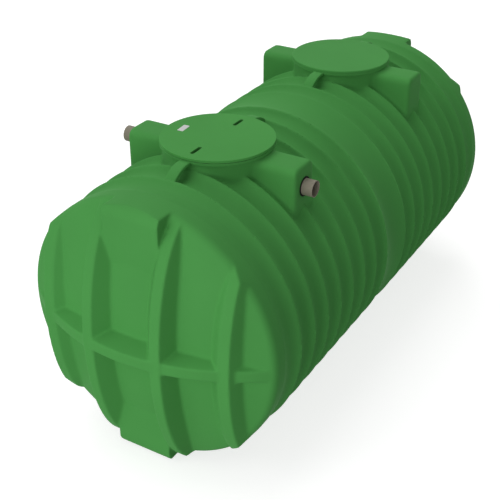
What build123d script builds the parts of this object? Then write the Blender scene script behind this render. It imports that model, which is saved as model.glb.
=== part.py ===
from build123d import *
import os
from math import sqrt

# Underground rainwater tank: a lying polyethylene tank of two ribbed modules with domed ends,
# a turret and two side boxes on each module. Millimetres. X runs along the tank, the near end
# with the open turret lies at -X, and the tank stands on z = 0.

# Ribbed barrel
rib_radius = 950.0
rib_count = 9
rib_pitch = 187.0
rib_depth = 34.0
crest_round = 20.0
band_length = 333.0
wall = 12.0
sole_depth = 5.0

# Domed ends
rim_radius = 936.0
rim_width = 115.0
shoulder_round = 60.0
dome_depth = 198.0
end_rib_draft = 53.0
end_rib_draft_height = 140.0
end_rib_drop = 27.0
inner_rib_offset = 256.0
inner_rib_half_width = 36.0
inner_rib_inward_draft = 105.0
inner_rib_reach = 940.0
inner_rib_height = 418.0
outer_rib_offset = 668.0
outer_rib_half_width = 40.0
outer_rib_inward_draft = 195.0
outer_rib_reach = 752.0
outer_rib_height = 293.0
cross_rib_half_width = 40.0
cross_rib_half_length = 905.0
cross_rib_height = 440.0
cross_rib_end_height = 127.0
block_half_width = 205.0
block_front = 246.0
block_kink_height = 553.0
block_crown = 941.0
block_round = 90.0

# Turrets
neck_radius = 368.0
neck_wall = 12.0
flange_radius = 383.0
flange_height = 18.0
neck_top = 1009.0
lid_radius = 383.0
lid_height = 17.0
lid_seal_height = 3.0
lid_round = 3.0
lid_seal_width = 12.0
spigot_gap = 4.0
spigot_depth = 20.0
spigot_wall = 8.0
key_slot_length = 116.0
key_slot_width = 26.0
key_slot_offset = 258.0
cover_height = 20.0
cover_round = 8.0

# Side boxes of the turrets
box_end = 645.0
box_width = 250.0
box_top = 978.0
box_bottom = 560.0
box_round = 48.0

# Pipe stubs and their seals
pipe_radius = 55.0
pipe_wall = 4.0
right_pipe_height = 828.0
right_pipe_reach = 725.0
left_pipe_height = 885.0
left_pipe_reach = 735.0
pipe_inside = 40.0
pipe_seat_step = 1.0
seal_width = 8.0
seal_lip = 4.0
seal_lip_width = 4.0

# Lifting lugs, each bridging from a turret's flange to a rib crest
lug_half_width = 40.0
lug_thickness = 24.0
lug_step = 6.0
lug_foot = 36.0
lug_bow = 30.0
lug_eye_bow = 22.0
lug_rib = 2

axis_height = rib_radius - sole_depth
first_rib = band_length / 2 + (rib_count - 1) * rib_pitch
cap_seam = first_rib - rib_pitch / 2
neck_position = band_length / 2 + (rib_count // 2) * rib_pitch
wall_base = box_bottom - rib_depth
tank_plane = Plane(origin=(0, 0, axis_height), x_dir=(1, 0, 0), z_dir=(0, -1, 0))
tank_axis = Axis((0, 0, axis_height), (1, 0, 0))


def flank(half_gap):
    """How far a crest's rounding runs sideways and down before the valley's arc takes over."""
    reach = (half_gap**2 + rib_depth**2) / (2 * rib_depth)
    lean = half_gap / reach
    return crest_round * lean, crest_round * (1 - sqrt(1 - lean**2))


def flute(left, right, top):
    """One hollow between two crests: half a crest, the valley and half a crest."""
    side, drop = flank((right - left) / 2)
    middle = (left + right) / 2
    TangentArc((left, top), (left + side, top - drop), tangent=(1, 0))
    ThreePointArc((left + side, top - drop), (middle, top - rib_depth), (right - side, top - drop))
    TangentArc((right, top), (right - side, top - drop), tangent=(-1, 0))


def module_form(inset):
    """The body of one ribbed module, from its cap's seam to the crest beside the plain band."""
    top = rib_radius - inset
    crests = [-first_rib + i * rib_pitch for i in range(1, rib_count)]
    side, drop = flank(rib_pitch / 2)
    with BuildPart() as form:
        with BuildSketch(tank_plane):
            with BuildLine():
                start = (-cap_seam, top - rib_depth)
                Line((-cap_seam, 0), start)
                TangentArc(start, (crests[0] - side, top - drop), tangent=(1, 0))
                TangentArc((crests[0], top), (crests[0] - side, top - drop), tangent=(-1, 0))
                for left, right in zip(crests, crests[1:]):
                    flute(left, right, top)
                Line((crests[-1], top), (crests[-1], 0))
                Line((crests[-1], 0), (-cap_seam, 0))
            make_face()
        revolve(axis=tank_axis)
    return form.part


def band_form(inset):
    """The body of the plain band between the two modules."""
    top = rib_radius - inset
    half = band_length / 2
    with BuildPart() as form:
        with BuildSketch(tank_plane):
            with BuildLine():
                Line((-half, 0), (-half, top))
                flute(-half, half, top)
                Line((half, top), (half, 0))
                Line((half, 0), (-half, 0))
            make_face()
        revolve(axis=tank_axis)
    return form.part


def end_rib_sections(half_width, inward_draft, inset):
    """Where a rib of the domed end has its four sections, and how far each lies below its top."""
    top = half_width - inset
    return [
        (-top - inward_draft, end_rib_draft_height),
        (-top, 0),
        (top, 0),
        (top + end_rib_draft, end_rib_draft_height),
    ]


def upright_rib(side, offset, sections, reach, height, inset):
    """One upright rib of the domed end: half ellipses lofted across its two slanting flanks."""
    with BuildPart() as rib:
        for across, drop in sections:
            with BuildSketch(tank_plane.offset(side * (offset + across))):
                with BuildLine():
                    long = reach - drop - inset
                    EllipticalCenterArc(
                        (-first_rib, -end_rib_drop), height - drop - inset, long, 90, arc_size=180
                    )
                    Line((-first_rib, -long - end_rib_drop), (-first_rib, long - end_rib_drop))
                make_face()
        loft(ruled=True)
    return rib.part


def cap_form(inset):
    """The body of the near domed end with its ribs and blocks, drawn in by the given wall."""
    rim = rim_radius - inset
    shoulder = inset - first_rib - rim_width
    base = -cap_seam
    with BuildPart() as form:
        with BuildSketch(tank_plane):
            with BuildLine():
                valley = (base, rib_radius - rib_depth - inset)
                pole = (shoulder - dome_depth, 0)
                TangentArc(pole, (shoulder, rim), tangent=(0, 1))
                Line((shoulder, rim), (-first_rib, rim))
                TangentArc(valley, (-first_rib, rim), tangent=(-1, 0))
                Polyline(valley, (base, 0), pole)
            make_face()
            fillet(vertices().sort_by_distance((shoulder, rim))[0], shoulder_round - inset)
        revolve(axis=tank_axis)
        inner = end_rib_sections(inner_rib_half_width, inner_rib_inward_draft, inset)
        outer = end_rib_sections(outer_rib_half_width, outer_rib_inward_draft, inset)
        for side in (-1, 1):
            add(upright_rib(side, inner_rib_offset, inner, inner_rib_reach, inner_rib_height, inset))
            add(upright_rib(side, outer_rib_offset, outer, outer_rib_reach, outer_rib_height, inset))
        for across, drop in end_rib_sections(cross_rib_half_width, end_rib_draft, inset):
            with BuildSketch(Plane.XY.offset(axis_height + across)):
                with BuildLine():
                    end = cross_rib_half_length - inset
                    low = -first_rib - cross_rib_end_height + drop + inset
                    high = -first_rib - cross_rib_height + drop + inset
                    ThreePointArc((low, -end), (high, 0), (low, end))
                    Polyline((low, end), (base, end), (base, -end), (low, -end))
                make_face()
        loft(ruled=True)
        with BuildSketch(tank_plane):
            for side in (-1, 1):
                with BuildLine():
                    front = -first_rib - block_front + inset
                    bend = block_round - inset
                    crown = block_crown - inset
                    kink = side * (block_kink_height - inset)
                    Line((front, kink), (front, side * (crown - bend)))
                    TangentArc(
                        (front, side * (crown - bend)),
                        (front + bend, side * crown),
                        tangent=(0, side),
                    )
                    Polyline(
                        (front + bend, side * crown),
                        (-first_rib, side * crown),
                        (-first_rib, kink),
                        (front, kink),
                    )
                make_face()
        extrude(amount=block_half_width - inset, both=True)
        with BuildSketch(Plane(origin=(base, 0, axis_height), z_dir=(-1, 0, 0))):
            Circle(rim)
        extrude(amount=cross_rib_height * 2, mode=Mode.INTERSECT)
    return form.part


def neck_form(inset):
    """The upright round body of the near turret, from inside the barrel up to its top."""
    with BuildPart() as form:
        with BuildSketch(Plane.XY.offset(axis_height + wall_base)):
            with Locations((-neck_position, 0)):
                Circle(neck_radius - inset)
        extrude(amount=neck_top - wall_base)
    return form.part


def box_form(inset):
    """The body of the near turret's two side boxes, one long block through the turret."""
    width = box_width - 2 * inset
    top = box_top - inset
    with BuildPart() as form:
        with BuildSketch(tank_plane):
            with Locations((-neck_position, 0)):
                with Locations((0, (top + wall_base) / 2)):
                    Rectangle(width, top - wall_base)
            fillet(vertices().group_by(Axis.Y)[-1], box_round - inset)
        extrude(amount=box_end - inset, both=True)
    return form.part


def side_box(bore_height=0):
    """The near turret's right side box, with a pipe hole in its end wall at the height given."""
    with BuildPart() as box:
        add(box_body)
        add(box_cavity, mode=Mode.SUBTRACT)
        add(neck_body, mode=Mode.SUBTRACT)
        add(module_body, mode=Mode.SUBTRACT)
        split(bisect_by=Plane.XZ, keep=Keep.TOP)
        if bore_height:
            with BuildSketch(Plane.XZ.offset(box_end)):
                with Locations((-neck_position, axis_height + bore_height)):
                    Circle(pipe_radius + seal_width)
            extrude(amount=-neck_wall, mode=Mode.SUBTRACT)
    return box.part


def turret():
    """The near turret's wall and flange, seated on the ribbed shell."""
    with BuildPart() as neck:
        add(neck_body)
        with BuildSketch(Plane.XY.offset(axis_height + neck_top)):
            with Locations((-neck_position, 0)):
                Circle(flange_radius)
        extrude(amount=-flange_height)
        add(neck_bore, mode=Mode.SUBTRACT)
        add(box_cavity, mode=Mode.SUBTRACT)
        add(module_body, mode=Mode.SUBTRACT)
    return neck.part


def pipe_stub(height, reach):
    """A pipe stub through the near right box's end wall, a little slimmer inside its seal."""
    length = box_end - neck_wall - pipe_inside - reach
    centre = (-neck_position, axis_height + height)
    with BuildPart() as pipe:
        with BuildSketch(Plane.XZ.offset(reach)):
            with Locations(centre):
                Circle(pipe_radius)
        extrude(amount=box_end + seal_lip - reach)
        with BuildSketch(Plane.XZ.offset(reach)):
            with Locations(centre):
                Circle(pipe_radius - pipe_seat_step)
        extrude(amount=length)
        with BuildSketch(Plane.XZ.offset(reach)):
            with Locations(centre):
                Circle(pipe_radius - pipe_wall)
        extrude(amount=length, mode=Mode.SUBTRACT)
    return pipe.part


def pipe_seal(height):
    """The lipped rubber ring between a pipe stub and the near right box's end wall."""
    centre = (-neck_position, axis_height + height)
    with BuildPart() as seal:
        with BuildSketch(Plane.XZ.offset(box_end)):
            with Locations(centre):
                Circle(pipe_radius + seal_width + seal_lip_width)
                Circle(pipe_radius - pipe_seat_step, mode=Mode.SUBTRACT)
        extrude(amount=seal_lip)
        with BuildSketch(Plane.XZ.offset(box_end)):
            with Locations(centre):
                Circle(pipe_radius + seal_width)
                Circle(pipe_radius - pipe_seat_step, mode=Mode.SUBTRACT)
        extrude(amount=-neck_wall - seal_lip)
    return seal.part


def ribbed_shell():
    """The near module's wall, open at both ends, to its turret and to the side boxes."""
    with BuildPart() as shell:
        add(module_body)
        add(module_form(wall), mode=Mode.SUBTRACT)
        add(neck_bore, mode=Mode.SUBTRACT)
        add(box_cavity, mode=Mode.SUBTRACT)
        split(bisect_by=Plane.XY, keep=Keep.TOP)
    return shell.part


module_body = module_form(0)
neck_body = neck_form(0)
neck_bore = neck_form(neck_wall)
box_body = box_form(0)
box_cavity = box_form(neck_wall)
os.makedirs("parts", exist_ok=True)

# Domed ends, each moulded in one piece with its ribs, its top block and its foot
with BuildPart() as near_end_cap:
    add(cap_form(0))
    add(cap_form(wall), mode=Mode.SUBTRACT)
    split(bisect_by=Plane.XY, keep=Keep.TOP)
near_end_cap.part.label = "near_end_cap"
export_step(near_end_cap.part, "parts/near_end_cap.step")

with BuildPart() as far_end_cap:
    mirror(near_end_cap.part, about=Plane.YZ)
far_end_cap.part.label = "far_end_cap"
export_step(far_end_cap.part, "parts/far_end_cap.step")

# The barrel: two ribbed shells joined by a plain band
with BuildPart() as near_shell:
    add(ribbed_shell())
near_shell.part.label = "near_shell"
export_step(near_shell.part, "parts/near_shell.step")

with BuildPart() as far_shell:
    mirror(near_shell.part, about=Plane.YZ)
far_shell.part.label = "far_shell"
export_step(far_shell.part, "parts/far_shell.step")

with BuildPart() as middle_band:
    add(band_form(0))
    add(band_form(wall), mode=Mode.SUBTRACT)
    split(bisect_by=Plane.XY, keep=Keep.TOP)
middle_band.part.label = "middle_band"
export_step(middle_band.part, "parts/middle_band.step")

# Turrets
with BuildPart() as near_turret:
    add(turret())
near_turret.part.label = "near_turret"
export_step(near_turret.part, "parts/near_turret.step")

with BuildPart() as far_turret:
    mirror(near_turret.part, about=Plane.YZ)
far_turret.part.label = "far_turret"
export_step(far_turret.part, "parts/far_turret.step")

# The near turret's lift-off lid with two key slots, on its flat seal
with BuildPart() as lid_seal:
    with BuildSketch(Plane.XY.offset(axis_height + neck_top)):
        with Locations((-neck_position, 0)):
            Circle(flange_radius - lid_round)
            Circle(flange_radius - lid_round - lid_seal_width, mode=Mode.SUBTRACT)
    extrude(amount=lid_seal_height)
lid_seal.part.label = "lid_seal"
export_step(lid_seal.part, "parts/lid_seal.step")

with BuildPart() as near_lid:
    lid_base = axis_height + neck_top + lid_seal_height
    with BuildSketch(Plane.XY.offset(lid_base)):
        with Locations((-neck_position, 0)):
            Circle(lid_radius)
    extrude(amount=lid_height)
    fillet(edges().filter_by(GeomType.CIRCLE).sort_by(Axis.Z)[-1], lid_round)
    with BuildSketch(Plane.XY.offset(lid_base)):
        with Locations((-neck_position, 0)):
            Circle(neck_radius - neck_wall - spigot_gap)
            Circle(neck_radius - neck_wall - spigot_gap - spigot_wall, mode=Mode.SUBTRACT)
    extrude(amount=-lid_seal_height - spigot_depth)
    with BuildSketch(Plane.XY.offset(lid_base)):
        with Locations((-neck_position, 0)):
            with Locations((-key_slot_offset, 0), (key_slot_offset, 0)):
                SlotOverall(key_slot_length, key_slot_width)
    extrude(amount=lid_height, mode=Mode.SUBTRACT)
near_lid.part.label = "near_lid"
export_step(near_lid.part, "parts/near_lid.step")

# The far turret's closed top
with BuildPart() as far_turret_top:
    with BuildSketch(Plane.XY.offset(axis_height + neck_top)):
        with Locations((neck_position, 0)):
            Circle(flange_radius)
    extrude(amount=cover_height)
    fillet(edges().filter_by(GeomType.CIRCLE).sort_by(Axis.Z)[-1], cover_round)
far_turret_top.part.label = "far_turret_top"
export_step(far_turret_top.part, "parts/far_turret_top.step")

# Side boxes: bored for the pipes on the near turret, blank on the far one
with BuildPart() as near_right_box:
    add(side_box(right_pipe_height))
near_right_box.part.label = "near_right_box"
export_step(near_right_box.part, "parts/near_right_box.step")

with BuildPart() as near_left_box:
    mirror(side_box(left_pipe_height), about=Plane.XZ)
near_left_box.part.label = "near_left_box"
export_step(near_left_box.part, "parts/near_left_box.step")

with BuildPart() as far_right_box:
    mirror(side_box(), about=Plane.YZ)
far_right_box.part.label = "far_right_box"
export_step(far_right_box.part, "parts/far_right_box.step")

with BuildPart() as far_left_box:
    mirror(far_right_box.part, about=Plane.XZ)
far_left_box.part.label = "far_left_box"
export_step(far_left_box.part, "parts/far_left_box.step")

# Pipe stubs in their rubber seals: the inlet on the left lies higher than the outlet
with BuildPart() as right_pipe:
    add(pipe_stub(right_pipe_height, right_pipe_reach))
right_pipe.part.label = "right_pipe"
export_step(right_pipe.part, "parts/right_pipe.step")

with BuildPart() as left_pipe:
    mirror(pipe_stub(left_pipe_height, left_pipe_reach), about=Plane.XZ)
left_pipe.part.label = "left_pipe"
export_step(left_pipe.part, "parts/left_pipe.step")

with BuildPart() as right_pipe_seal:
    add(pipe_seal(right_pipe_height))
right_pipe_seal.part.label = "right_pipe_seal"
export_step(right_pipe_seal.part, "parts/right_pipe_seal.step")

with BuildPart() as left_pipe_seal:
    mirror(pipe_seal(left_pipe_height), about=Plane.XZ)
left_pipe_seal.part.label = "left_pipe_seal"
export_step(left_pipe_seal.part, "parts/left_pipe_seal.step")

# Lifting lugs: an arched strap from the turret's flange down to a rib, with an eye under it
with BuildPart() as near_outer_lug:
    neck_side = -neck_position - neck_radius
    crest = -first_rib + (lug_rib - 1) * rib_pitch
    strap_top = neck_top - lug_step
    foot_base = rib_radius - crest_round
    with BuildSketch(tank_plane):
        with BuildLine():
            outer_end = (crest - lug_foot / 2, foot_base)
            inner_end = (crest + lug_foot / 2, foot_base)
            outer_start = (neck_side, strap_top)
            inner_start = (neck_side, strap_top - lug_thickness)
            SagittaArc(outer_start, outer_end, -lug_bow)
            Line(outer_end, inner_end)
            SagittaArc(inner_end, inner_start, lug_eye_bow)
            Line(inner_start, (neck_side + neck_wall, strap_top - lug_thickness))
            Line((neck_side + neck_wall, strap_top - lug_thickness), (neck_side + neck_wall, strap_top))
            Line((neck_side + neck_wall, strap_top), outer_start)
        make_face()
    extrude(amount=lug_half_width, both=True)
    with BuildSketch(Plane.XY.offset(axis_height + neck_top)):
        with Locations((-neck_position, 0)):
            Circle(flange_radius)
    extrude(amount=-flange_height, mode=Mode.SUBTRACT)
    add(neck_body, mode=Mode.SUBTRACT)
    add(module_body, mode=Mode.SUBTRACT)
near_outer_lug.part.label = "near_outer_lug"
export_step(near_outer_lug.part, "parts/near_outer_lug.step")

with BuildPart() as near_inner_lug:
    mirror(near_outer_lug.part, about=Plane.YZ.offset(-neck_position))
near_inner_lug.part.label = "near_inner_lug"
export_step(near_inner_lug.part, "parts/near_inner_lug.step")

with BuildPart() as far_outer_lug:
    mirror(near_outer_lug.part, about=Plane.YZ)
far_outer_lug.part.label = "far_outer_lug"
export_step(far_outer_lug.part, "parts/far_outer_lug.step")

with BuildPart() as far_inner_lug:
    mirror(near_inner_lug.part, about=Plane.YZ)
far_inner_lug.part.label = "far_inner_lug"
export_step(far_inner_lug.part, "parts/far_inner_lug.step")
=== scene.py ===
"""A rainwater tank that lies under ground, moulded in green polyethylene, with two turrets."""
import bisect
import math

import bmesh
import bpy
from mathutils import Euler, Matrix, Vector


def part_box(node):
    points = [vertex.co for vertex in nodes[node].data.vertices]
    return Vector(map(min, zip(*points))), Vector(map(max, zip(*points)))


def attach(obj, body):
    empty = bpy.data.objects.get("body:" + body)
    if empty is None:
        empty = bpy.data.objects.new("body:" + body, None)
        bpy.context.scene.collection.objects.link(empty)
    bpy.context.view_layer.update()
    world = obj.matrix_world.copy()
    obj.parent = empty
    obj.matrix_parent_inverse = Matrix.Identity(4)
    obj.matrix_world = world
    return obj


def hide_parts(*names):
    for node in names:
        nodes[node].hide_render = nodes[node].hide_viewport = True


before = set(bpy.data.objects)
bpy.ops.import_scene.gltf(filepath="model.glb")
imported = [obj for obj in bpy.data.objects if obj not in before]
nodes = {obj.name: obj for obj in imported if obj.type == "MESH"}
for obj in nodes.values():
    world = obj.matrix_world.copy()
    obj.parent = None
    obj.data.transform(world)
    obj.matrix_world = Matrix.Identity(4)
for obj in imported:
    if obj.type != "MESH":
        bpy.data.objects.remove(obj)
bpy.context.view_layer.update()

# The photo's view
# A long lens looks down along the tank from its near end's right side, and the tank fills
# the square picture from corner to corner.
view_turn = math.radians(-59.4966)
view_tilt = math.radians(30.6257)
camera = bpy.data.objects.new("camera", bpy.data.cameras.new("camera"))
camera.location = (-5.8589, -3.1567, 4.5793)
camera.rotation_euler = Euler((math.pi / 2 - view_tilt, 0, view_turn))
camera.data.lens = 70.29
camera.data.sensor_width = 36
camera.data.clip_end = 100
bpy.context.scene.collection.objects.link(camera)
bpy.context.scene.camera = camera
bpy.context.scene.view_settings.view_transform = "Standard"

# The studio
# A pale floor and a white sky that light softly, four broad lamps, and a soft box low before
# the near end. What the camera sees of floor and sky runs out to white, and the floor keeps
# a faint shadow.
sky_strength = 0.36
lamp_spread = math.radians(30)
lamps = (
    ("front lamp", 0.74, (-1, -0.15, 0.05)),
    ("left lamp", 0.46, (-0.6, 0.5, 0.6)),
    ("top lamp", 0.62, (0, 0.2, 1)),
    ("back lamp", 0.62, (0.5, 0.5, 0.7)),
)
soft_box_width = 5.0
soft_box_height = 1.0
soft_box_power = 125
soft_box_place = (-7.5, 0, 0.55)
floor_half = 40.0
floor_drop = 0.001
floor_as_light = (0.15, 0.14)
floor_as_seen = (0.5, 0.75)


def seen_share(tree):
    """A socket that is 1 for what the camera sees, straight or by a mirror or glass."""
    path = tree.nodes.new("ShaderNodeLightPath")
    total = path.outputs["Is Camera Ray"]
    for ray in ("Is Glossy Ray", "Is Transmission Ray"):
        add = tree.nodes.new("ShaderNodeMath")
        add.operation = "ADD"
        add.use_clamp = True
        tree.links.new(total, add.inputs[0])
        tree.links.new(path.outputs[ray], add.inputs[1])
        total = add.outputs["Value"]
    return total


def facing(way):
    """The turn that points a lamp back along a way, given from the tank to the lamp."""
    return Vector(way).to_track_quat("Z", "Y").to_euler()


sky = bpy.data.worlds.new("studio sky")
bpy.context.scene.world = sky
sky.use_nodes = True
sky_nodes = sky.node_tree.nodes
sky_links = sky.node_tree.links
sky_nodes.clear()
sky_seen = sky_nodes.new("ShaderNodeBackground")
sky_seen.inputs["Color"].default_value = (1, 1, 1, 1)
sky_light = sky_nodes.new("ShaderNodeBackground")
sky_light.inputs["Color"].default_value = (1, 1, 1, 1)
sky_light.inputs["Strength"].default_value = sky_strength
sky_mix = sky_nodes.new("ShaderNodeMixShader")
sky_out = sky_nodes.new("ShaderNodeOutputWorld")
sky_links.new(seen_share(sky.node_tree), sky_mix.inputs["Fac"])
sky_links.new(sky_light.outputs["Background"], sky_mix.inputs[1])
sky_links.new(sky_seen.outputs["Background"], sky_mix.inputs[2])
sky_links.new(sky_mix.outputs["Shader"], sky_out.inputs["Surface"])

for name, energy, way in lamps:
    lamp = bpy.data.objects.new(name, bpy.data.lights.new(name, "SUN"))
    lamp.data.energy = energy
    lamp.data.angle = lamp_spread
    lamp.rotation_euler = facing(way)
    bpy.context.scene.collection.objects.link(lamp)

soft_box = bpy.data.objects.new("soft box", bpy.data.lights.new("soft box", "AREA"))
soft_box.data.shape = "RECTANGLE"
soft_box.data.size = soft_box_width
soft_box.data.size_y = soft_box_height
soft_box.data.energy = soft_box_power
soft_box.location = soft_box_place
soft_box.rotation_euler = facing((-1, 0, 0))
soft_box.visible_camera = False
bpy.context.scene.collection.objects.link(soft_box)

floor_mesh = bpy.data.meshes.new("floor")
floor_corners = []
for x, y in ((-1, -1), (1, -1), (1, 1), (-1, 1)):
    floor_corners.append((x * floor_half, y * floor_half, -floor_drop))
floor_mesh.from_pydata(floor_corners, [], [(0, 1, 2, 3)])
floor = bpy.data.objects.new("floor", floor_mesh)
bpy.context.scene.collection.objects.link(floor)
floor_paint = bpy.data.materials.new("floor white")
floor_paint.use_nodes = True
floor_nodes = floor_paint.node_tree.nodes
floor_links = floor_paint.node_tree.links
floor_nodes.clear()
floor_mix = floor_nodes.new("ShaderNodeMixShader")
floor_out = floor_nodes.new("ShaderNodeOutputMaterial")
for entry, (paleness, strength) in ((1, floor_as_light), (2, floor_as_seen)):
    matt = floor_nodes.new("ShaderNodeBsdfDiffuse")
    matt.inputs["Color"].default_value = (paleness, paleness, paleness, 1)
    glow = floor_nodes.new("ShaderNodeEmission")
    glow.inputs["Color"].default_value = (1, 1, 1, 1)
    glow.inputs["Strength"].default_value = strength
    both = floor_nodes.new("ShaderNodeAddShader")
    floor_links.new(matt.outputs["BSDF"], both.inputs[0])
    floor_links.new(glow.outputs["Emission"], both.inputs[1])
    floor_links.new(both.outputs["Shader"], floor_mix.inputs[entry])
floor_links.new(seen_share(floor_paint.node_tree), floor_mix.inputs["Fac"])
floor_links.new(floor_mix.outputs["Shader"], floor_out.inputs["Surface"])
floor_mesh.materials.append(floor_paint)

# The moulded body
# One hollow of green polyethylene from a rotating mould: ribbed barrel, domed ends, turrets
# and side boxes, with soft roots and edges throughout. Closed forms are joined, meshed anew
# in one skin, relaxed, and parted at the mould's seams.
axis_height = 0.945
rib_top = 0.950
rib_pitch = 0.187
ribs_a_side = 9
rib_depth = 0.042
shallow_depth = 0.034
crest_round = 0.012
crest_steps = 3
hollow_steps = 8
band_half = 0.1665
seam = 1.569
seam_lap = 0.03
lap_sink = 0.012
turns_round = 256

turret_place = 0.9145
turret_radius = 0.368
turret_foot = 1.60
turret_top = 1.950
mouth_radius = 0.33
mouth_edge = 1.944

box_half = 0.125
box_foot = 1.471
box_top = 1.923
box_round = 0.048
box_corner_steps = 6
box_reach = 0.645
right_pipe_height = 1.773
left_pipe_height = 1.830
pipe_hole_radius = 0.057
pipe_hole_from = 0.6


def clouded_finish(name, colour, roughness, gloss, cloud, detail, drift):
    """A finish whose colour drifts a little from place to place, as moulded plastic's does."""
    finish = bpy.data.materials.new(name)
    finish.use_nodes = True
    parts = finish.node_tree.nodes
    links = finish.node_tree.links
    shader = parts["Principled BSDF"]
    shader.inputs["Roughness"].default_value = roughness
    shader.inputs["Specular IOR Level"].default_value = gloss
    place = parts.new("ShaderNodeTexCoord")
    clouds = parts.new("ShaderNodeTexNoise")
    clouds.inputs["Scale"].default_value = cloud
    clouds.inputs["Detail"].default_value = detail
    tint = parts.new("ShaderNodeMix")
    tint.data_type = "RGBA"
    tint.inputs["A"].default_value = [share * (1 - drift) for share in colour] + [1]
    tint.inputs["B"].default_value = [share * (1 + drift) for share in colour] + [1]
    links.new(place.outputs["Object"], clouds.inputs["Vector"])
    links.new(clouds.outputs["Fac"], tint.inputs["Factor"])
    links.new(tint.outputs["Result"], shader.inputs["Base Color"])
    return finish


def moulded_green(name, colour):
    """Green polyethylene from a rotating mould, with the fine orange peel that it leaves."""
    green = clouded_finish(name, colour, roughness=0.6, gloss=0.03, cloud=2.2, detail=3, drift=0.07)
    parts = green.node_tree.nodes
    links = green.node_tree.links
    place = parts.new("ShaderNodeTexCoord")
    peel = parts.new("ShaderNodeTexNoise")
    peel.inputs["Scale"].default_value = 260
    peel.inputs["Detail"].default_value = 2
    bump = parts.new("ShaderNodeBump")
    bump.inputs["Strength"].default_value = 0.12
    bump.inputs["Distance"].default_value = 0.001
    links.new(place.outputs["Object"], peel.inputs["Vector"])
    links.new(peel.outputs["Fac"], bump.inputs["Height"])
    links.new(bump.outputs["Normal"], parts["Principled BSDF"].inputs["Normal"])
    return green


def finish_node(name, finish):
    """Gives a node of the frame its finish."""
    nodes[name].data.materials.clear()
    nodes[name].data.materials.append(finish)


def flute(left, right, depth):
    """One hollow of the barrel from crest to crest, as places along it with their radius."""
    half = (right - left) / 2
    reach = (half**2 + depth**2) / (2 * depth)
    lean = math.asin(half / reach)
    chord = half - crest_round * math.sin(lean)
    sag = depth - crest_round * (1 - math.cos(lean))
    bow = (chord**2 + sag**2) / (2 * sag)
    line = []
    for step in range(crest_steps):
        turn = lean * step / crest_steps
        drop = crest_round * (1 - math.cos(turn))
        line.append((left + crest_round * math.sin(turn), rib_top - drop))
    for step in range(-hollow_steps, hollow_steps + 1):
        along = chord * step / hollow_steps
        line.append((left + half + along, rib_top - depth + bow - math.sqrt(bow**2 - along**2)))
    for step in range(crest_steps - 1, 0, -1):
        turn = lean * step / crest_steps
        drop = crest_round * (1 - math.cos(turn))
        line.append((right - crest_round * math.sin(turn), rib_top - drop))
    return line


def wall_rings(form, rings, closed=True):
    """Walls from each ring of points to the next, with the first and last ring closed."""
    for one, two in zip(rings, rings[1:]):
        for step in range(len(one)):
            after = (step + 1) % len(one)
            form.faces.new((one[step], one[after], two[after], two[step]))
    if closed:
        form.faces.new(rings[0][::-1])
        form.faces.new(rings[-1])


def lathed(form, line, place_of, closed=True):
    """Turns a line of (along, radius) round an axis; place_of gives the place at an angle."""
    rings = []
    for along, radius in line:
        ring = []
        for step in range(turns_round):
            ring.append(form.verts.new(place_of(along, radius, math.tau * step / turns_round)))
        rings.append(ring)
    wall_rings(form, rings, closed)


def prism(form, outline, half_width):
    """A closed form across the tank, with an outline of (x, z) points."""
    rings = []
    for y in (-half_width, half_width):
        rings.append([form.verts.new((x, y, z)) for x, z in outline])
    wall_rings(form, rings)


def round_the_barrel(along, radius, angle):
    """The place at an angle round the barrel's axis."""
    return (along, radius * math.cos(angle), axis_height + radius * math.sin(angle))


def round_the_turret(side):
    """A function that gives the place at an angle round one turret's axis."""
    def place_of(height, radius, angle):
        return (side * turret_place + radius * math.cos(angle), radius * math.sin(angle), height)

    return place_of


def finished_piece(form, name, finish, smooth):
    """Makes the form an object of the scene, with its finish."""
    mesh = bpy.data.meshes.new(name)
    form.to_mesh(mesh)
    form.free()
    mesh.polygons.foreach_set("use_smooth", [smooth] * len(mesh.polygons))
    mesh.materials.append(finish)
    made = bpy.data.objects.new(name, mesh)
    bpy.context.scene.collection.objects.link(made)
    return made


tank_green = moulded_green("tank green", (0.072, 0.300, 0.070))
for name in (
    "near_end_cap", "near_shell", "near_turret", "near_right_box", "near_left_box", "middle_band",
    "far_end_cap", "far_shell", "far_turret", "far_right_box", "far_left_box",
):
    finish_node(name, tank_green)

# The barrel's rib line runs from crest to crest. The band between the two modules and the
# hollows at the seams are shallower than the rest.
skin = bmesh.new()
crests = []
for side in (-1, 1):
    for step in range(ribs_a_side):
        crests.append(side * (band_half + step * rib_pitch))
crests.sort()
rib_line = []
for left, right in zip(crests, crests[1:]):
    is_band = left == -right
    is_at_seam = max(abs(left), abs(right)) > seam
    rib_line += flute(left, right, shallow_depth if is_band or is_at_seam else rib_depth)
rib_line.append((crests[-1], rib_top))
lap_radius = rib_top - shallow_depth - lap_sink
barrel_line = [(-seam - seam_lap, lap_radius)]
barrel_line += [point for point in rib_line if abs(point[0]) <= seam]
barrel_line.append((seam + seam_lap, lap_radius))
lathed(skin, barrel_line, round_the_barrel)

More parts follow.
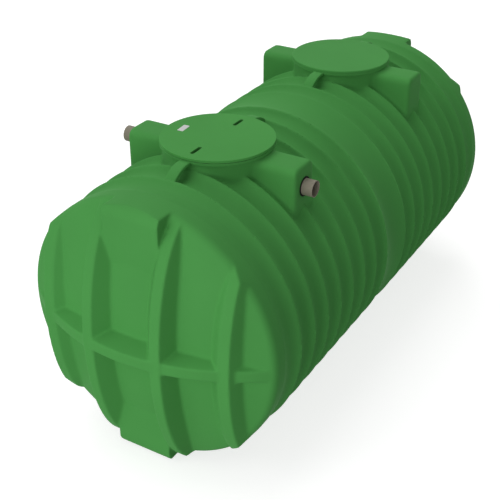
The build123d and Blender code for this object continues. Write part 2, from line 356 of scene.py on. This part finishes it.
# The domed ends come from the frame: the outside of each end, without its inner wall, closed
# across the seam.
same_point = 0.00002
same_plane = 0.0001
for name in ("near_end_cap", "far_end_cap"):
    end = bmesh.new()
    end.from_mesh(nodes[name].data)
    bmesh.ops.remove_doubles(end, verts=end.verts, dist=same_point)
    rim = []
    for face in end.faces:
        if all(abs(abs(vert.co.x) - seam) < same_plane for vert in face.verts):
            rim.append(face)
    bmesh.ops.delete(end, geom=rim, context="FACES")
    tip = max(end.verts, key=lambda vert: abs(vert.co.x))
    outside = {tip}
    waiting = [tip]
    while waiting:
        vert = waiting.pop()
        for edge in vert.link_edges:
            other = edge.other_vert(vert)
            if other not in outside:
                outside.add(other)
                waiting.append(other)
    inner_wall = [vert for vert in end.verts if vert not in outside]
    bmesh.ops.delete(end, geom=inner_wall, context="VERTS")
    bmesh.ops.holes_fill(end, edges=[edge for edge in end.edges if edge.is_boundary], sides=0)
    bmesh.ops.recalc_face_normals(end, faces=end.faces)
    end_mesh = bpy.data.meshes.new("end form")
    end.to_mesh(end_mesh)
    end.free()
    skin.from_mesh(end_mesh)

# Turret necks and the boxes that run through them
for side in (-1, 1):
    neck_line = [(turret_foot, turret_radius), (turret_top, turret_radius)]
    lathed(skin, neck_line, round_the_turret(side))
    box_line = [(-box_half, box_foot), (box_half, box_foot)]
    for corner, first_turn in ((box_half - box_round, 0), (-box_half + box_round, 90)):
        for step in range(box_corner_steps + 1):
            turn = math.radians(first_turn + 90 * step / box_corner_steps)
            along = corner + box_round * math.cos(turn)
            box_line.append((along, box_top - box_round + box_round * math.sin(turn)))
    prism(skin, [(side * turret_place + x, z) for x, z in box_line], box_reach)
bmesh.ops.recalc_face_normals(skin, faces=skin.faces)
raw_mesh = bpy.data.meshes.new("raw skin")
skin.to_mesh(raw_mesh)
skin.free()

# A point of the skin that lies near the rib line goes back on it. Farther off, in the fillets,
# it stays where relaxing left it. The body's grain divides the rib pitch, so that a row of
# points falls near each crest, and that row moves onto it.
end_grain = 0.0085
body_grain = rib_pitch / 15
snap_from = 0.007
snap_until = 0.014
crest_catch = 0.45
joint_foot = 1.5
joint_reach = 0.72
joint_half = 0.42
rib_places = [place for place, radius in rib_line]


def rib_radius(place):
    """The rib line's radius at a place along the barrel."""
    after = max(1, bisect.bisect(rib_places, place))
    x_before, r_before = rib_line[after - 1]
    x_after, r_after = rib_line[after]
    return r_before + (r_after - r_before) * (place - x_before) / (x_after - x_before)


def one_skin(grain, turns, joint_turns):
    """The joined forms in one mesh of the grain given, relaxed, and set back on the rib line."""
    raw = bpy.data.objects.new("raw skin", raw_mesh)
    bpy.context.scene.collection.objects.link(raw)
    remesh = raw.modifiers.new("one skin", "REMESH")
    remesh.mode = "VOXEL"
    remesh.voxel_size = grain
    bpy.context.view_layer.update()
    done = raw.evaluated_get(bpy.context.evaluated_depsgraph_get())
    raw.data = bpy.data.meshes.new_from_object(done)
    raw.modifiers.clear()
    joints = raw.vertex_groups.new(name="joints")
    near_joints = []
    for vert in raw.data.vertices:
        x, y, z = vert.co
        if z > joint_foot and abs(y) < joint_reach and abs(abs(x) - turret_place) < joint_half:
            near_joints.append(vert.index)
    joints.add(near_joints, 1.0, "REPLACE")
    for group, count in (("", turns), ("joints", joint_turns)):
        if count:
            ease = raw.modifiers.new("ease", "SMOOTH")
            ease.factor = 0.5
            ease.iterations = count
            ease.vertex_group = group
    bpy.context.view_layer.update()
    done = raw.evaluated_get(bpy.context.evaluated_depsgraph_get())
    relaxed = bpy.data.meshes.new_from_object(done)
    bpy.data.objects.remove(raw)
    for vert in relaxed.vertices:
        x, y, z = vert.co
        if abs(x) >= crests[-1]:
            continue
        wanted = rib_radius(x)
        radius = math.hypot(y, z - axis_height)
        off_line = abs(radius - wanted)
        share = min(1, max(0, (snap_until - off_line) / (snap_until - snap_from)))
        share *= min(1, max(0, (seam + seam_lap - abs(x)) / seam_lap))
        crest = min(crests, key=lambda place: abs(place - x))
        if share == 1 and abs(x - crest) < grain * crest_catch:
            vert.co.x = crest
            wanted = rib_top
        scale = 1 + share * (wanted / radius - 1)
        vert.co.y = y * scale
        vert.co.z = axis_height + (z - axis_height) * scale
    return relaxed


end_skin = one_skin(end_grain, turns=3, joint_turns=0)
body_skin = one_skin(body_grain, turns=1, joint_turns=12)
near_body_nodes = ["near_shell", "near_turret", "near_right_box", "near_left_box"]
far_body_nodes = ["far_shell", "far_turret", "far_right_box", "far_left_box"]
past_the_end = 3
moulded_pieces = {
    "near_end_skin": (end_skin, -past_the_end, -seam, ["near_end_cap"]),
    "near_body_skin": (body_skin, -seam, -band_half, near_body_nodes),
    "band_skin": (body_skin, -band_half, band_half, ["middle_band"]),
    "far_body_skin": (body_skin, band_half, seam, far_body_nodes),
    "far_end_skin": (end_skin, seam, past_the_end, ["far_end_cap"]),
}
for name, (whole_skin, start, stop, stands_for) in moulded_pieces.items():
    cut = bmesh.new()
    cut.from_mesh(whole_skin)
    for place, way in ((start, -1), (stop, 1)):
        bmesh.ops.bisect_plane(
            cut,
            geom=cut.verts[:] + cut.edges[:] + cut.faces[:],
            plane_co=(place, 0, 0),
            plane_no=(way, 0, 0),
            clear_outer=True,
        )
    hidden = []
    for face in cut.faces:
        x, y, z = face.calc_center_median()
        pipe_height = right_pipe_height if y < 0 else left_pipe_height
        from_pipe = math.hypot(x + turret_place, z - pipe_height)
        under_lid = z > mouth_edge and math.hypot(abs(x) - turret_place, y) < mouth_radius
        behind_pipe = abs(y) > pipe_hole_from and from_pipe < pipe_hole_radius
        if under_lid or behind_pipe:
            hidden.append(face)
    bmesh.ops.delete(cut, geom=hidden, context="FACES")
    for vert in cut.verts:
        vert.co.z = max(vert.co.z, 0.0)
    piece = finished_piece(cut, name, tank_green, smooth=True)
    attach(piece, "root")
    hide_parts(*stands_for)

# Turret flanges
# A flat ring moulded round each turret's mouth. Its upper edge is rounded and catches the
# light under the lid. Each point of its line is a height and a radius.
flange_line = [
    (1.936, 0.356),
    (1.936, 0.3815),
    (1.9375, 0.384),
    (1.950, 0.384),
    (1.9528, 0.3828),
    (1.954, 0.380),
    (1.954, 0.356),
]
for side, name in ((-1, "near_flange"), (1, "far_flange")):
    flange = bmesh.new()
    lathed(flange, flange_line, round_the_turret(side), closed=False)
    piece = finished_piece(flange, name, tank_green, smooth=False)
    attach(piece, "root")

# Lifting lugs
# Arched straps of the same moulding, from each turret's flange down to a rib crest, with an
# eye under the arch for a sling. All their edges are rounded.
lug_half_width = 0.040
lug_edge_round = 0.007
lug_edge_steps = 4
lug_root = -1.272
lug_head = -1.2825
lug_top = 1.948
lug_under = 1.924
lug_foot = 1.875
lug_foot_out = -1.4935
lug_foot_in = -1.4575
lug_arch = 0.030
lug_eye_arch = 0.022


def arc_points(start, stop, bow, steps=18):
    """Points of a flat arc between two places, raised by bow at its middle."""
    start = Vector(start)
    stop = Vector(stop)
    chord = stop - start
    half = chord.length / 2
    radius = (half**2 + bow**2) / (2 * bow)
    out = Vector((-chord.y, chord.x)).normalized()
    if out.y < 0:
        out = -out
    hub = (start + stop) / 2 - out * (radius - bow)
    spread = math.asin(half / radius)
    along = chord.normalized()
    line = []
    for step in range(steps + 1):
        turn = spread * (2 * step / steps - 1)
        line.append(hub + out * radius * math.cos(turn) + along * radius * math.sin(turn))
    return line


lug_line = arc_points((lug_head, lug_top), (lug_foot_out, lug_foot), lug_arch)
lug_line += arc_points((lug_foot_in, lug_foot), (lug_head, lug_under), lug_eye_arch)
lug_line += [Vector((lug_root, lug_under)), Vector((lug_root, lug_top))]
for name in ("near_outer_lug", "near_inner_lug", "far_outer_lug", "far_inner_lug"):
    outline = []
    for point in lug_line:
        x = point.x
        if "inner" in name:
            x = -2 * turret_place - x
        if "far" in name:
            x = -x
        outline.append((x, point.y))
    lug = bmesh.new()
    prism(lug, outline, lug_half_width)
    bmesh.ops.recalc_face_normals(lug, faces=lug.faces)
    edges = [edge for edge in lug.edges if edge.verts[0].co.y == edge.verts[1].co.y]
    bmesh.ops.bevel(
        lug,
        geom=edges,
        offset=lug_edge_round,
        segments=lug_edge_steps,
        affect="EDGES",
        profile=0.5,
    )
    piece = finished_piece(lug, name + "_strap", tank_green, smooth=True)
    finish_node(name, tank_green)
    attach(piece, "root")
    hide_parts(name)

# Lid and closed top
# A flat disc of the same plastic covers each turret. The near one is the lid, a shade fresher
# than the tank, and is lifted by its two key slots. The far one is closed.
lid_green = moulded_green("lid green", (0.074, 0.315, 0.070))
finish_node("near_lid", lid_green)
finish_node("far_turret_top", tank_green)

# Pipe stubs
# Short ends of warm grey drain pipe, extruded in smooth matt plastic. Each is pushed through
# a seal in one of the near turret's side boxes.
pipe_grey = clouded_finish(
    "pipe grey", (0.245, 0.222, 0.172), roughness=0.6, gloss=0.15, cloud=18, detail=2, drift=0.1
)
for name in ("right_pipe", "left_pipe"):
    finish_node(name, pipe_grey)

# Seals
# Rings of matt black rubber. One grips each pipe stub where it leaves its box, and a flat one
# lies under the lid.
seal_rubber = clouded_finish(
    "seal rubber", (0.008, 0.010, 0.008), roughness=0.8, gloss=0.08, cloud=60, detail=2, drift=0.1
)
for name in ("right_pipe_seal", "left_pipe_seal", "lid_seal"):
    finish_node(name, seal_rubber)

# Label plate
# A thin pale plastic plate, bare, stuck on the lid's left side with its long side along the
# tank. Its corners and upper edges are rounded.
plate_half_long = 0.043
plate_half_wide = 0.016
plate_corner = 0.006
plate_corner_steps = 4
plate_levels = ((0.0, 1.0), (0.0009, 1.0), (0.0013, 0.988))
plate_turn = math.radians(4)
plate_x = -turret_place - 0.008
plate_y = 0.264
lid_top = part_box("near_lid")[1][2]
plate_outline = []
for along, across, start in (
    (plate_half_long, plate_half_wide, 0),
    (-plate_half_long, plate_half_wide, 90),
    (-plate_half_long, -plate_half_wide, 180),
    (plate_half_long, -plate_half_wide, 270),
):
    for step in range(plate_corner_steps + 1):
        turn = math.radians(start + 90 * step / plate_corner_steps)
        x = along + plate_corner * math.cos(turn)
        y = across + plate_corner * math.sin(turn)
        plate_outline.append((x, y))
plate = bmesh.new()
rings = []
for height, shrink in plate_levels:
    ring = []
    for x, y in plate_outline:
        x *= shrink
        y *= shrink
        turned_x = x * math.cos(plate_turn) - y * math.sin(plate_turn)
        turned_y = x * math.sin(plate_turn) + y * math.cos(plate_turn)
        ring.append(plate.verts.new((plate_x + turned_x, plate_y + turned_y, lid_top + height)))
    rings.append(ring)
wall_rings(plate, rings)
plate_grey = clouded_finish(
    "plate grey", (0.55, 0.56, 0.55), roughness=0.45, gloss=0.5, cloud=30, detail=2, drift=0.1
)
label_plate = finished_piece(plate, "label_plate", plate_grey, smooth=False)
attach(label_plate, "root")
